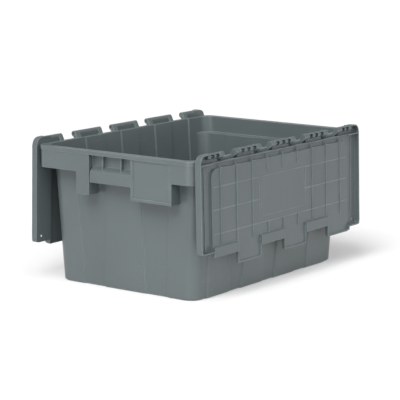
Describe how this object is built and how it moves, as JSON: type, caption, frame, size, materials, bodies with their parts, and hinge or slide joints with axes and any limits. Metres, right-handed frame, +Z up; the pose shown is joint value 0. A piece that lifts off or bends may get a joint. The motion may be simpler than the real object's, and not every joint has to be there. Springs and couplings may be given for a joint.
{
  "type": "attached lid tote",
  "caption": "Nestable tapered plastic tote with attached hinged lids whose finger edges interlock; at rest the lids hang open outside the long walls.",
  "frame": {"origin": "middle of the flat base, at the height of the surface that the tote stands on", "axes": "+Z up out of the open top, Y along the long walls and the hinge lines, X across the width; -Y is the end that the picture shows"},
  "size_m": [0.411, 0.546, 0.2787],
  "materials": {
    "tub_plastic": "injection-moulded polyethylene, fine satin grain",
    "lid_plastic": "injection-moulded polyethylene, fine satin grain",
    "hinge_steel": "dull zinc-plated wire"
  },
  "bodies": {
    "tub": {"tub": "tub_plastic", "hinge_pin_left_1": "hinge_steel", "hinge_pin_left_2": "hinge_steel", "hinge_pin_left_3": "hinge_steel", "hinge_pin_left_4": "hinge_steel", "hinge_pin_left_5": "hinge_steel", "hinge_pin_right_1": "hinge_steel", "hinge_pin_right_2": "hinge_steel", "hinge_pin_right_3": "hinge_steel", "hinge_pin_right_4": "hinge_steel", "hinge_pin_right_5": "hinge_steel"},
    "lid_left": {"lid_left": "lid_plastic"},
    "lid_right": {"lid_right": "lid_plastic"}
  },
  "joints": [
    {"name": "lid_left_hinge", "type": "hinge", "parent": "tub", "child": "lid_left", "pos_m": [-0.1935, 0, 0.273], "axis": [0, 1, 0], "range_deg": [0, 268.5]},
    {"name": "lid_right_hinge", "type": "hinge", "parent": "tub", "child": "lid_right", "pos_m": [0.1935, 0, 0.273], "axis": [0, -1, 0], "range_deg": [0, 268.5]}
  ]
}
